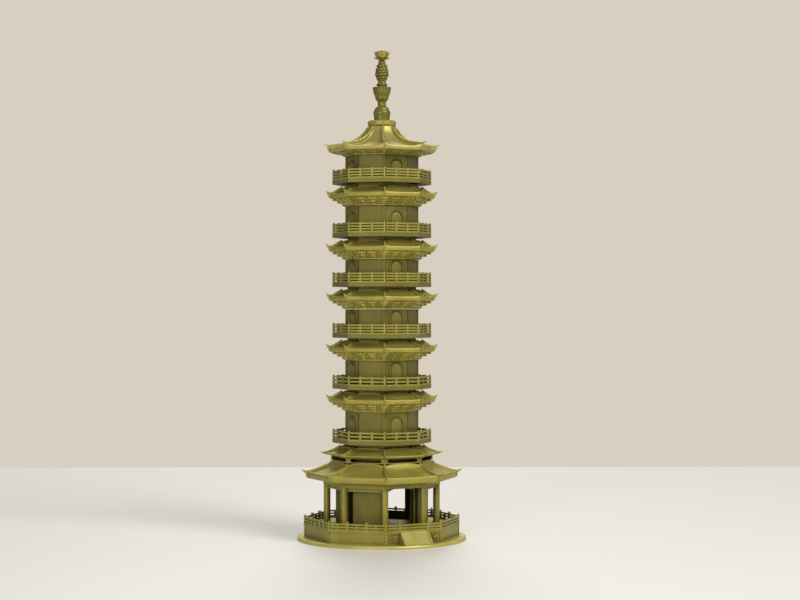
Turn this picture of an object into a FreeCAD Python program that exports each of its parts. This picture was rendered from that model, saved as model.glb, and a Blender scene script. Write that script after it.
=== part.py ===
"""Miniature seven-storey octagonal pagoda, 300 mm tall, built as a stack of moulded storeys.

Axes: +Z up, the entrance face looks along -Y, the origin is the middle of the underside of the
foot disc. Every octagon has flat faces on +-X and +-Y, so its corners stand at 22.5 degrees.
Heights in the sheet are measured from the underside of the foot, in millimetres.
"""
import FreeCAD
import Part
import Sketcher
import math
import os

os.makedirs("parts", exist_ok=True)
doc = FreeCAD.newDocument("pagoda")
sheet = doc.addObject("Spreadsheet::Sheet", "Sheet")

FACES = range(8)
DOOR_FACES = range(0, 8, 2)
STOREYS = range(2, 8)
UP = FreeCAD.Vector(0, 0, 1)

DIMENSIONS = {
    # foot, plinth and entrance ramp
    "disc_radius": 51.5,
    "disc_height": 2.0,
    "disc_rounding": 0.9,
    "plinth_corner": 47.3,
    "deck_height": 9.6,
    "coping_corner": 47.9,
    "coping_height": 0.9,
    "quoin_size": 1.7,
    "relief_centre": 13.5,
    "relief_width": 6.0,
    "relief_height": 4.6,
    "relief_depth": 0.5,
    "relief_gap": 1.3,
    "ramp_width": 18.4,
    "ramp_run": 6.4,
    "kerb_width": 1.0,
    "kerb_rise": 0.7,
    "kerb_crown": 0.5,
    "ramp_toe": 0.4,
    # terrace railing
    "terrace_corner": 46.9,
    "terrace_rail_top": 13.8,
    "terrace_post_top": 15.2,
    # gallery round the hall
    "column_ring": 33.5,
    "column_radius": 2.05,
    "column_base_radius": 2.45,
    "column_base_height": 1.0,
    "beam_bottom": 33.6,
    "beam_top": 36.5,
    "beam_width": 4.6,
    "board_joint": 0.05,
    "strip_bottom": 31.6,
    "strip_height": 1.0,
    "strip_width": 1.2,
    "strip_web": 0.6,
    "strip_gap": 0.15,
    # ground-storey hall
    "hall_corner": 29.0,
    "hall_wall": 1.6,
    "hall_post": 1.6,
    "hall_post_width": 4.8,
    "hall_post_ring": 25.5,
    "lintel_bottom": 33.6,
    "panel_half": 8.8,
    "sill_top": 14.4,
    "window_half": 6.3,
    "window_jamb": 2.5,
    "jamb_width": 0.8,
    "doorway_half": 8.6,
    "brace_width": 5.5,
    "brace_height": 2.2,
    # lower roof, clerestory and second eave
    "lower_eave_corner": 46.1,
    "lower_fascia_top": 40.3,
    "clerestory_bottom": 48.2,
    "clerestory_corner": 31.2,
    "clerestory_top": 51.6,
    "slot_bottom": 48.8,
    "slot_height": 2.1,
    "slot_width": 17.6,
    "slot_depth": 8.0,
    "upper_eave_corner": 34.8,
    "upper_eave_top": 57.4,
    # the six upper storeys: underside of each balcony slab
    "floor_2": 59.0,
    "floor_3": 92.0,
    "floor_4": 123.0,
    "floor_5": 154.0,
    "floor_6": 184.0,
    "floor_7": 216.5,
    "slab_height": 2.4,
    "slab_corner": 30.3,
    "spigot_corner": 12.0,
    "spigot_length": 2.6,
    "spigot_clearance": 0.3,
    "balcony_rail_corner": 29.5,
    "rail_bar": 0.95,
    "rail_depth": 1.25,
    "rail_post": 1.2,
    "post_radius": 0.75,
    "post_cap": 1.0,
    "post_point": 0.15,
    "post_gap": 0.1,
    "baluster_rise": 0.4,
    "drum_corner": 22.35,
    "pilaster_size": 1.8,
    "door_half": 4.7,
    "door_depth": 0.6,
    "door_recess": 0.3,
    "door_border": 1.4,
    "bracket_height": 5.0,
    "bracket_core_corner": 21.6,
    "skirt_corner": 29.2,
    "bracket_reach": 31.0,
    "ledge_corner": 24.2,
    "ledge_height": 0.8,
    "bracket_width": 2.4,
    "eave_corner": 31.8,
    "roof_height": 8.7,
    "roof_neck": 24.6,
    "collar_corner": 22.0,
    "collar_gap": 1.2,
    "ridge_width": 1.3,
    # cap roof, collar ring and finial
    "cap_bracket_bottom": 233.3,
    "cap_bottom": 235.9,
    "cap_eave_corner": 33.1,
    "cap_top": 252.2,
    "cap_neck": 8.3,
    "ring_radius": 8.6,
    "ring_top": 255.6,
    "pin_radius": 1.5,
    "pin_length": 8.0,
    "pin_clearance": 0.2,
    "pin_socket": 4.0,
    "bowl_height": 11.6,
    "bowl_radius": 5.3,
    "neck_radius": 2.6,
    "cup_height": 9.0,
    "cup_corner": 5.6,
    "finial_ring_radius": 3.4,
    "finial_ring_height": 3.7,
    "bud_height": 12.9,
    "bud_radius": 4.4,
    "crown_height": 7.2,
    "crown_radius": 5.1,
}
# door heights above the deck and slot rows in the railing, storey by storey
DOOR_TOPS = {2: 14.4, 3: 14.4, 4: 14.4, 5: 13.7, 6: 13.5, 7: 12.1}
RAIL_ROWS = {2: 2, 3: 2, 4: 3, 5: 3, 6: 3, 7: 3}
RAIL_RISES = {2: 7.6, 3: 7.6, 4: 8.3, 5: 8.3, 6: 8.3, 7: 8.3}
for storey in STOREYS:
    DIMENSIONS[f"door_top_{storey}"] = DOOR_TOPS[storey]
    DIMENSIONS[f"rail_rise_{storey}"] = RAIL_RISES[storey]

for row, (alias, value) in enumerate(DIMENSIONS.items(), start=1):
    sheet.set(f"A{row}", alias.replace("_", " "))
    sheet.set(f"B{row}", str(value))
    sheet.setAlias(f"B{row}", alias)
doc.recompute()


def expression(text):
    """Turn 'deck_height + 2' into a sheet expression: every word that is a cell gets its prefix."""
    words = []
    word = ""
    for letter in str(text) + " ":
        if letter.isalnum() or letter in "_.":
            word += letter
            continue
        words.append(f"Sheet.{word}" if word in DIMENSIONS else word)
        words.append(letter)
        word = ""
    return "".join(words).strip()


def value_of(text):
    """The number that a sheet expression gives."""
    return float(sheet.evalExpression(expression(text)))


def bind(item, **sizes):
    """Bind properties of a document object to sheet expressions."""
    for name, text in sizes.items():
        item.setExpression(name, expression(text))


def place(item, x="0", y="0", z="0", turn=0.0):
    """Turn an object about Z and bind its position to the sheet."""
    item.Placement = FreeCAD.Placement(FreeCAD.Vector(), FreeCAD.Rotation(UP, turn))
    for axis, text in (("x", x), ("y", y), ("z", z)):
        item.setExpression(f"Placement.Base.{axis}", expression(text))
    return item


def box(name, length, width, height, x, y, z):
    """A box centred on x and y that stands on z."""
    item = doc.addObject("Part::Box", name)
    bind(item, Length=length, Width=width, Height=height)
    return place(item, f"({x}) - ({length}) / 2", f"({y}) - ({width}) / 2", z)


def octagon(name, corner, height, z):
    """An octagonal prism with faces on the axes, standing on z."""
    item = doc.addObject("Part::Prism", name)
    item.Polygon = 8
    bind(item, Circumradius=corner, Height=height)
    return place(item, z=z, turn=22.5)


def cylinder(name, radius, height, x="0", y="0", z="0"):
    item = doc.addObject("Part::Cylinder", name)
    bind(item, Radius=radius, Height=height)
    return place(item, x, y, z)


def lying(name, radius, length, x, y, z):
    """A cylinder along Y, centred on x, y and z."""
    item = doc.addObject("Part::Cylinder", name)
    bind(item, Radius=radius, Height=length)
    place(item, x, f"({y}) + ({length}) / 2", z)
    item.Placement.Rotation = FreeCAD.Rotation(FreeCAD.Vector(1, 0, 0), 90)
    return item


def cone(name, foot, top, height, x="0", y="0", z="0"):
    item = doc.addObject("Part::Cone", name)
    bind(item, Radius1=foot, Radius2=top, Height=height)
    return place(item, x, y, z)


def octagon_loft(name, sections):
    """A solid through octagons, each given by its corner radius and height."""
    wires = []
    for number, (corner, z) in enumerate(sections):
        wire = doc.addObject("Part::RegularPolygon", f"{name}_section_{number}")
        wire.Polygon = 8
        bind(wire, Circumradius=corner)
        wires.append(place(wire, z=z, turn=22.5))
    item = doc.addObject("Part::Loft", name)
    item.Sections = wires
    item.Solid = True
    item.Ruled = True
    return item


def fuse(name, pieces):
    item = doc.addObject("Part::MultiFuse", name)
    item.Shapes = pieces
    return item


def cut(name, base, tool):
    item = doc.addObject("Part::Cut", name)
    item.Base = base
    item.Tool = tool
    return item


def compound(name, pieces):
    item = doc.addObject("Part::Compound", name)
    item.Links = pieces
    return item


def copies(source, faces, offset=0.0):
    """Links to one object, turned about the tower's axis to the numbered faces."""
    links = []
    for face in faces:
        link = doc.addObject("App::Link", f"{source.Name}_{face}")
        link.LinkedObject = source
        link.LinkTransform = True
        link.Placement = FreeCAD.Placement(
            FreeCAD.Vector(), FreeCAD.Rotation(UP, 45.0 * face + offset))
        links.append(link)
    return links


def profile(body, plane, name, points, turn=0.0, lift="0"):
    """A closed sketch on one of the body's origin planes, every corner held by two dimensions."""
    sketch = body.newObject("Sketcher::SketchObject", name)
    support = next(f for f in body.Origin.OriginFeatures if f.Role == plane)
    sketch.AttachmentSupport = [(support, "")]
    sketch.MapMode = "FlatFace"
    sketch.AttachmentOffset = FreeCAD.Placement(
        FreeCAD.Vector(), FreeCAD.Rotation(FreeCAD.Vector(0, 1, 0), turn))
    sketch.setExpression("AttachmentOffset.Base.z", expression(lift))
    corners = [FreeCAD.Vector(value_of(x), value_of(y), 0) for x, y in points]
    count = len(corners)
    for index, corner in enumerate(corners):
        sketch.addGeometry(Part.LineSegment(corner, corners[(index + 1) % count]), False)
    for index in range(count):
        following = (index + 1) % count
        sketch.addConstraint(Sketcher.Constraint("Coincident", index, 2, following, 1))
    for index, (x, y) in enumerate(points):
        across = Sketcher.Constraint("DistanceX", -1, 1, index, 1, corners[index].x)
        upward = Sketcher.Constraint("DistanceY", -1, 1, index, 1, corners[index].y)
        for dimension, text in ((across, x), (upward, y)):
            number = sketch.addConstraint(dimension)
            sketch.setExpression(f"Constraints[{number}]", expression(text))
    return sketch


def padded(name, plane, points, length, turn=0.0, lift="0"):
    """A body that pads one closed profile by the same amount to both sides."""
    body = doc.addObject("PartDesign::Body", name)
    sketch = profile(body, plane, f"{name}_sketch", points, turn, lift)
    pad = body.newObject("PartDesign::Pad", f"{name}_pad")
    pad.Profile = sketch
    pad.Midplane = True
    bind(pad, Length=length)
    return body


def turned(name, points):
    """A body revolved about the tower's axis from points given as radius and height."""
    body = doc.addObject("PartDesign::Body", name)
    sketch = profile(body, "XZ_Plane", f"{name}_sketch", points)
    turning = body.newObject("PartDesign::Revolution", f"{name}_turning")
    turning.Profile = sketch
    turning.ReferenceAxis = (sketch, ["V_Axis"])
    turning.Angle = 360.0
    return body


nodes = []


def node(item, label):
    """Name the object as one separate sub-part of the pagoda."""
    item.Label = label
    nodes.append(item)
    return item


# An octagon's apothem and half its side, as factors of its corner radius.
FLAT = math.cos(math.radians(22.5))
HALF = math.sin(math.radians(22.5))


def flat(corner):
    return f"({corner}) * {FLAT:.6f}"


def half(corner):
    return f"({corner}) * {HALF:.6f}"


# ---------------------------------------------------------------- foot, plinth and ramp
def make_foot():
    body = doc.addObject("PartDesign::Body", "foot_body")
    rounding = "disc_rounding"
    sketch = profile(body, "XZ_Plane", "foot_sketch", [
        ("0", "0"),
        ("disc_radius", "0"),
        ("disc_radius", f"disc_height - {rounding}"),
        (f"disc_radius - {rounding} * 0.3", f"disc_height - {rounding} * 0.3"),
        (f"disc_radius - {rounding}", "disc_height"),
        ("0", "disc_height"),
    ])
    turning = body.newObject("PartDesign::Revolution", "foot_turning")
    turning.Profile = sketch
    turning.ReferenceAxis = (sketch, ["V_Axis"])
    turning.Angle = 360.0
    node(body, "base_disc")


def make_plinth():
    rise = "deck_height - disc_height"
    block = octagon("plinth_block", "plinth_corner", rise, "disc_height")
    coping = octagon("plinth_coping", "coping_corner", "coping_height",
                     "deck_height - coping_height")
    quoin = box("plinth_quoin", "quoin_size", "quoin_size", rise,
                "plinth_corner - quoin_size * 0.42", "0", "disc_height")
    node(fuse("plinth_fuse", [block, coping] + copies(quoin, FACES, 22.5)), "plinth")

    centre = "relief_centre"
    front = f"-{flat('plinth_corner')} - relief_depth / 2"
    foot_z = "disc_height + relief_gap"
    right = box("relief_right", "relief_width", "relief_depth", "relief_height",
                centre, front, foot_z)
    left = box("relief_left", "relief_width", "relief_depth", "relief_height",
               f"-({centre})", front, foot_z)
    node(compound("relief_pair", [left, right]), "plinth_relief")


def make_ramp():
    """A wedge from the terrace edge down to the foot disc, with a raised kerb on each side."""
    wall = f"-{flat('plinth_corner')}"
    lip = f"-{flat('coping_corner')}"
    under_lip = "deck_height - coping_height"
    back = [(lip, "deck_height"), (lip, under_lip), (wall, under_lip), (wall, "disc_height")]
    foot = f"{lip} - ramp_run"
    slope = back + [(foot, "disc_height"), (foot, "disc_height + ramp_toe")]
    kerb = back + [(foot, "disc_height"), (foot, "disc_height + ramp_toe + kerb_rise"),
                   (f"{lip} - kerb_crown", "deck_height")]
    bed = padded("ramp_bed", "YZ_Plane", slope, "ramp_width")
    sides = []
    for side, sign in (("left", "-"), ("right", "")):
        middle = f"{sign}(ramp_width - kerb_width) / 2"
        sides.append(padded(f"ramp_kerb_{side}", "YZ_Plane", kerb, "kerb_width", lift=middle))
    node(fuse("ramp_fuse", [bed] + sides), "entrance_ramp")


# ---------------------------------------------------------------- railings
def rail_face(name, corner, floor, rail_top, rows, posts):
    """One railing face at -Y: rails in even rows, posts, and the corner post at its +X end."""
    y = f"-{flat(corner)}"
    reach = half(corner)
    bar_step = f"({rail_top} - ({floor}) - rail_bar) / {rows}"
    start = f"-({reach}) + post_radius + post_gap"
    length = f"2 * ({reach}) - post_radius - post_gap"
    middle = f"({start}) + ({length}) / 2"
    pieces = []
    for row in range(rows + 1):
        pieces.append(box(f"{name}_bar_{row}", length, "rail_depth", "rail_bar",
                          middle, y, f"{floor} + ({bar_step}) * {row}"))
    for number, (x, width, top) in enumerate(posts):
        pieces.append(box(f"{name}_post_{number}", width, "rail_depth * 1.2",
                          f"{top} - ({floor})", x, y, floor))
    return pieces


def corner_post(name, corner, floor, cap_bottom):
    """A round post with a pointed cap, on the corner between faces 0 and 1."""
    x = half(corner)
    y = f"-{flat(corner)}"
    shaft = cylinder(f"{name}_shaft", "post_radius", f"{cap_bottom} - ({floor})", x, y, floor)
    cap = cone(f"{name}_cap", "post_radius", "post_point", "post_cap", x, y, cap_bottom)
    return [shaft, cap]


def make_terrace_railing():
    corner = "terrace_corner"
    reach = half(corner)
    cap_bottom = "terrace_post_top - post_cap"
    tall = "terrace_post_top - post_radius * 0.4"
    short = "terrace_rail_top"
    plain = []
    for sixth in (-4, -2, 0, 2, 4):
        is_tall = sixth in (-2, 2)
        width = "rail_post" if is_tall else "rail_bar"
        plain.append((f"({reach}) * {sixth} / 6", width, tall if is_tall else short))
    flanking = [("-ramp_width / 2", "rail_post", tall), ("ramp_width / 2", "rail_post", tall)]
    post = corner_post("terrace_corner_post", corner, "deck_height", cap_bottom)
    faces = []
    for name, posts in (("terrace_plain", plain), ("terrace_entrance", flanking)):
        face = rail_face(name, corner, "deck_height", "terrace_rail_top", 2, posts)
        faces.append(fuse(f"{name}_fuse", face + post))
    panels = copies(faces[0], range(1, 8)) + copies(faces[1], [0])
    node(compound("terrace_ring", panels), "terrace_railing")


def make_balcony_railing(storey):
    floor = f"floor_{storey} + slab_height"
    top = f"(floor_{storey} + rail_rise_{storey})"
    reach = half("balcony_rail_corner")
    posts = [(f"({reach}) * {third} / 3", "rail_post", f"({top} + baluster_rise)")
             for third in (-1, 1)]
    name = f"balcony_rail_{storey}"
    face = rail_face(name, "balcony_rail_corner", floor, top, RAIL_ROWS[storey], posts)
    post = corner_post(f"{name}_corner", "balcony_rail_corner", floor, top)
    panel = fuse(f"{name}_fuse", face + post)
    node(compound(f"{name}_ring", copies(panel, FACES)), f"railing_{storey}")


# ---------------------------------------------------------------- gallery and hall
def ring_board(name, outer, inner, bottom, top):
    """One mitred board of an octagonal ring, on face 0, a hair short of its neighbours."""
    return padded(name, "XY_Plane", [
        (f"-{half(outer)} + board_joint", f"-{flat(outer)}"),
        (f"{half(outer)} - board_joint", f"-{flat(outer)}"),
        (f"{half(inner)} - board_joint", f"-{flat(inner)}"),
        (f"-{half(inner)} + board_joint", f"-{flat(inner)}"),
    ], f"{top} - {bottom}", lift=f"({top} + {bottom}) / 2")


def make_gallery():
    x = half("column_ring")
    y = f"-{flat('column_ring')}"
    shaft = cylinder("column_shaft", "column_radius", "beam_bottom - deck_height",
                     x, y, "deck_height")
    pad = cylinder("column_pad", "column_base_radius", "column_base_height", x, y, "deck_height")
    column = fuse("column_fuse", [shaft, pad])
    node(compound("column_ring_of_eight", copies(column, FACES)), "gallery_columns")

    outer = "column_ring + beam_width / 2"
    inner = "column_ring - beam_width / 2"
    board = ring_board("beam_board", outer, inner, "beam_bottom", "beam_top")
    node(compound("beam_ring", copies(board, FACES)), "gallery_beam")

    span = f"2 * (({x}) - column_radius - strip_gap)"
    strip = box("beam_strip", span, "strip_width", "strip_height", "0", y, "strip_bottom")
    web = box("beam_web", span, "strip_web", "beam_bottom - strip_bottom", "0", y, "strip_bottom")
    tie = fuse("beam_tie", [strip, web])
    node(compound("strip_ring", copies(tie, range(1, 8))), "gallery_tie_rails")


def make_hall():
    y = f"-{flat('hall_corner')} + hall_wall / 2"
    rise = "lintel_bottom - deck_height"
    post = box("hall_corner_post", "hall_post", "hall_post_width", rise, "hall_post_ring", "0",
               "deck_height")
    node(compound("hall_post_ring", copies(post, FACES, 22.5)), "hall_posts")

    panel = box("hall_panel", "2 * panel_half", "hall_wall", rise, "0", y, "deck_height")
    node(compound("hall_panel_ring", copies(panel, (1, 2, 4, 6, 7))), "hall_panels")

    sheet_wall = box("window_sheet", "2 * (window_half + window_jamb)", "hall_wall", rise,
                     "0", y, "deck_height")
    hole = box("window_hole", "2 * window_half", "2 * hall_wall", "lintel_bottom - sill_top",
               "0", y, "sill_top")
    window = cut("window_wall", sheet_wall, hole)
    node(compound("window_pair", copies(window, (3, 5))), "hall_windows")

    jambs = []
    for side, sign in (("left", -1), ("right", 1)):
        inside = f"{sign} * doorway_half"
        outside = f"{sign} * (doorway_half + jamb_width)"
        brace = f"{sign} * (doorway_half - brace_width)"
        points = [
            (outside, "deck_height"),
            (inside, "deck_height"),
            (inside, "lintel_bottom - brace_height"),
            (brace, "lintel_bottom"),
            (outside, "lintel_bottom"),
        ]
        depth = f"{flat('hall_corner')} - hall_wall / 2"
        jambs.append(padded(f"doorway_{side}", "XZ_Plane", points, "hall_wall", lift=depth))
    node(compound("doorway_pair", jambs), "hall_doorway")

    outer = "hall_corner"
    inner = f"hall_corner - hall_wall / {FLAT:.6f}"
    lintel = ring_board("hall_lintel", outer, inner, "lintel_bottom", "beam_top")
    node(compound("hall_lintel_ring", copies(lintel, FACES)), "hall_lintels")


# ---------------------------------------------------------------- roofs
def hip_ridges(name, points):
    """Eight raised hip ridges that end in upturned horns, from a profile of radius and height."""
    # The sketch plane is turned about the tower's axis so that it passes through a corner.
    ridge = padded(name, "XZ_Plane", points, "ridge_width", turn=22.5)
    return copies(ridge, FACES)


def make_lower_roof():
    eave = "lower_eave_corner"
    slope = octagon_loft("lower_roof_slope", [
        (f"{eave} - 4.6", "beam_top"),
        (f"{eave} - 1.0", "beam_top + 0.9"),
        (eave, "lower_fascia_top - 0.6"),
        (f"{eave} - 0.4", "lower_fascia_top"),
        ("41.1", "41.4"),
        ("36.8", "42.9"),
        ("33.6", "44.8"),
        ("31.8", "47.0"),
        ("clerestory_corner + 0.1", "clerestory_bottom"),
    ])
    ridges = hip_ridges("lower_roof_ridge", [
        ("clerestory_corner", "47.6"),
        ("32.6", "45.9"),
        ("36.0", "44.3"),
        ("40.3", "42.7"),
        ("45.5", "41.8"),
        ("49.1", "42.7"),
        ("49.1", "42.0"),
        ("47.5", "41.0"),
        ("46.2", "40.4"),
        ("45.0", "38.5"),
        ("clerestory_corner", "41.5"),
    ])
    node(fuse("lower_roof_fuse", [slope] + ridges), "lower_roof")


def make_clerestory():
    core = octagon("clerestory_core", "clerestory_corner", "clerestory_top - clerestory_bottom",
                   "clerestory_bottom")
    front = f"-{flat('clerestory_corner')}"
    middle = box("clerestory_slot", "slot_width", "2 * slot_depth", "slot_height",
                 "0", front, "slot_bottom")
    ends = [lying(f"clerestory_end_{side}", "slot_height / 2", "2 * slot_depth",
                  f"{sign}slot_width / 2", front, "slot_bottom + slot_height / 2")
            for side, sign in (("left", "-"), ("right", ""))]
    slot = fuse("clerestory_round_slot", [middle] + ends)
    slots = compound("clerestory_slots", copies(slot, FACES))
    node(cut("clerestory_cut", core, slots), "clerestory")


def make_upper_eave():
    eave = "upper_eave_corner"
    slope = octagon_loft("upper_eave_slope", [
        (f"{eave} - 1.2", "clerestory_top"),
        (eave, "clerestory_top + 0.4"),
        (eave, "clerestory_top + 1.4"),
        ("30.6", "clerestory_top + 2.6"),
        ("27.2", "upper_eave_top - 1.8"),
        ("25.6", "upper_eave_top"),
    ])
    ridges = hip_ridges("upper_eave_ridge", [
        ("25.2", "upper_eave_top"),
        ("29.1", "55.0"),
        ("33.2", "53.4"),
        ("37.3", "53.5"),
        ("37.3", "53.0"),
        ("36.0", "52.3"),
        ("34.6", "51.9"),
        ("25.2", "53.4"),
    ])
    collar = octagon("upper_eave_collar", "collar_corner", "floor_2 - upper_eave_top",
                     "upper_eave_top")
    whole = fuse("upper_eave_fuse", [slope, collar] + ridges)
    socket = spigot_socket("upper_eave_socket", "floor_2")
    node(cut("upper_eave_cut", whole, socket), "upper_eave")


def spigot_socket(name, top):
    """The octagonal hole that takes the spigot of the storey above."""
    depth = "spigot_length + spigot_clearance"
    return octagon(name, "spigot_corner + spigot_clearance", depth, f"{top} - ({depth})")


def make_roof(storey):
    """A concave octagonal roof whose collar carries the next storey."""
    top = f"floor_{storey + 1}"
    name = f"roof_{storey}"
    slope = octagon_loft(f"{name}_slope", [
        ("eave_corner - 1.0", f"{top} - roof_height"),
        ("eave_corner", f"{top} - roof_height + 0.6"),
        ("eave_corner", f"{top} - roof_height + 2.5"),
        ("eave_corner - 3.2", f"{top} - 5.3"),
        ("roof_neck + 1", f"{top} - 3.8"),
        ("roof_neck", f"{top} - 2.3"),
        ("roof_neck", f"{top} - collar_gap"),
    ])
    ridges = hip_ridges(f"{name}_ridge", [
        ("roof_neck - 0.4", f"{top} - collar_gap - 0.2"),
        ("28.0", f"{top} - 3.8"),
        ("30.6", f"{top} - 5.0"),
        ("32.8", f"{top} - 4.6"),
        ("34.3", f"{top} - 3.6"),
        ("34.3", f"{top} - 4.1"),
        ("33.0", f"{top} - 6.5"),
        ("31.6", f"{top} - 8.5"),
        ("roof_neck - 0.4", f"{top} - 5.0"),
    ])
    collar = octagon(f"{name}_collar", "collar_corner", "collar_gap", f"{top} - collar_gap")
    whole = fuse(f"{name}_fuse", [slope, collar] + ridges)
    node(cut(f"{name}_cut", whole, spigot_socket(f"{name}_socket", top)), name)


def make_cap_roof():
    """The tall cap roof of the top storey, bored for the finial's pin."""
    slope = octagon_loft("cap_slope", [
        ("cap_eave_corner - 1.2", "cap_bottom"),
        ("cap_eave_corner", "cap_bottom + 0.9"),
        ("cap_eave_corner", "cap_bottom + 2.1"),
        ("25.4", "239.6"),
        ("18.6", "241.4"),
        ("13.2", "244.6"),
        ("9.8", "248.4"),
        ("cap_neck", "cap_top"),
    ])
    ridges = hip_ridges("cap_ridge", [
        ("cap_neck - 1", "cap_top - 0.2"),
        ("8.9", "251.6"),
        ("11.2", "247.6"),
        ("14.9", "244.5"),
        ("19.2", "242.6"),
        ("24.0", "241.5"),
        ("32.6", "240.9"),
        ("36.0", "241.2"),
        ("36.0", "240.6"),
        ("33.8", "239.8"),
        ("32.6", "237.4"),
        ("20", "239.5"),
        ("cap_neck - 1", "245"),
    ])
    whole = fuse("cap_fuse", [slope] + ridges)
    bore = cylinder("cap_bore", "pin_radius + pin_clearance", "cap_top - cap_bottom",
                    z="ring_top - pin_length - 1")
    node(cut("cap_cut", whole, bore), "roof_7")

    band = turned("collar_band", [
        ("pin_radius + pin_clearance", "cap_top"),
        ("ring_radius - 0.6", "cap_top"),
        ("ring_radius", "cap_top + 0.7"),
        ("ring_radius", "ring_top - 0.7"),
        ("ring_radius - 0.6", "ring_top"),
        ("pin_radius + pin_clearance", "ring_top"),
    ])
    node(band, "collar_ring")


# ---------------------------------------------------------------- upper storeys
def make_balcony(storey):
    floor = f"floor_{storey}"
    name = f"balcony_{storey}"
    slab = octagon(f"{name}_slab", "slab_corner", "slab_height", floor)
    spigot = octagon(f"{name}_spigot", "spigot_corner", "spigot_length",
                     f"{floor} - spigot_length")
    node(fuse(f"{name}_fuse", [slab, spigot]), name)


def bracket_bottom(storey):
    if storey == STOREYS[-1]:
        return "cap_bracket_bottom"
    return f"(floor_{storey + 1} - roof_height - bracket_height)"


def bracket_rise(storey):
    if storey == STOREYS[-1]:
        return "(cap_bottom - cap_bracket_bottom)"
    return "bracket_height"


def make_drum(storey):
    """The octagonal wall with a flat pilaster on each corner."""
    floor = f"floor_{storey} + slab_height"
    rise = f"{bracket_bottom(storey)} - ({floor})"
    name = f"drum_{storey}"
    wall = octagon(f"{name}_wall", "drum_corner - 0.3", rise, floor)
    pilaster = box(f"{name}_pilaster", "pilaster_size", "pilaster_size", rise,
                   "drum_corner - pilaster_size / 2", "0", floor)
    node(fuse(f"{name}_fuse", [wall] + copies(pilaster, FACES, 22.5)), name)


def make_doors(storey):
    """Arched door frames with a sunk leaf, on every other face."""
    floor = f"floor_{storey} + slab_height"
    name = f"doors_{storey}"
    front = f"-{flat('drum_corner - 0.3')} - door_depth / 2"
    springing = f"door_top_{storey} - door_half"
    jamb = box(f"{name}_jamb", "2 * door_half", "door_depth", springing, "0", front, floor)
    centre_z = f"{floor} + {springing}"
    arch = lying(f"{name}_arch", "door_half", "door_depth", "0", front, centre_z)
    leaf_front = f"{front} - door_depth / 2"
    leaf = box(f"{name}_leaf", "2 * (door_half - door_border)", "2 * door_recess",
               f"{springing} - 0.01", "0", leaf_front, f"{floor} + 0.01")
    leaf_arch = lying(f"{name}_leaf_arch", "door_half - door_border", "2 * door_recess",
                      "0", leaf_front, centre_z)
    frame = fuse(f"{name}_frame", [jamb, arch])
    recess = fuse(f"{name}_recess", [leaf, leaf_arch])
    door = cut(f"{name}_door", frame, recess)
    node(compound(f"{name}_ring", copies(door, DOOR_FACES)), name)


def make_brackets(storey):
    """A thin ledge and a flaring skirt that carries stepped bracket sets up to the eave."""
    bottom = bracket_bottom(storey)
    rise = bracket_rise(storey)
    name = f"brackets_{storey}"
    core = octagon_loft(f"{name}_core", [
        ("bracket_core_corner", bottom),
        ("bracket_core_corner + 0.8", f"{bottom} + ledge_height"),
        ("skirt_corner", f"{bottom} + {rise}"),
    ])
    ledge = octagon(f"{name}_ledge", "ledge_corner", "ledge_height", bottom)

    def stepped(kind, root, reach):
        """A profile of three steps out from the core, in radius and height."""
        points = [(root, f"{bottom} + {rise}"), (root, f"{bottom} + ledge_height / 2")]
        for step in range(1, 4):
            out = f"{root} + ({reach} - ({root})) * {step} / 3"
            foot_z = f"{bottom} + ledge_height / 2 + ({rise} - ledge_height / 2) * {step - 1} / 3"
            head_z = f"{bottom} + ledge_height / 2 + ({rise} - ledge_height / 2) * {step} / 3"
            points.append((out, foot_z))
            points.append((out, head_z))
        turn = 22.5 if kind == "corner" else 0.0
        return points, turn

    pieces = [core, ledge]
    points, turn = stepped("corner", "bracket_core_corner", "bracket_reach")
    corner = padded(f"{name}_corner", "XZ_Plane", points, "bracket_width", turn)
    pieces += copies(corner, FACES)
    root = f"({flat('bracket_core_corner')})"
    points, turn = stepped("middle", root, f"({flat('bracket_reach')} - 0.6)")
    for side, sign in (("left", "-"), ("right", "")):
        offset = f"{sign}{half('drum_corner')} / 3"
        middle = padded(f"{name}_{side}", "XZ_Plane", points, "bracket_width", turn, lift=offset)
        pieces += copies(middle, FACES)
    node(fuse(f"{name}_fuse", pieces), name)


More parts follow.
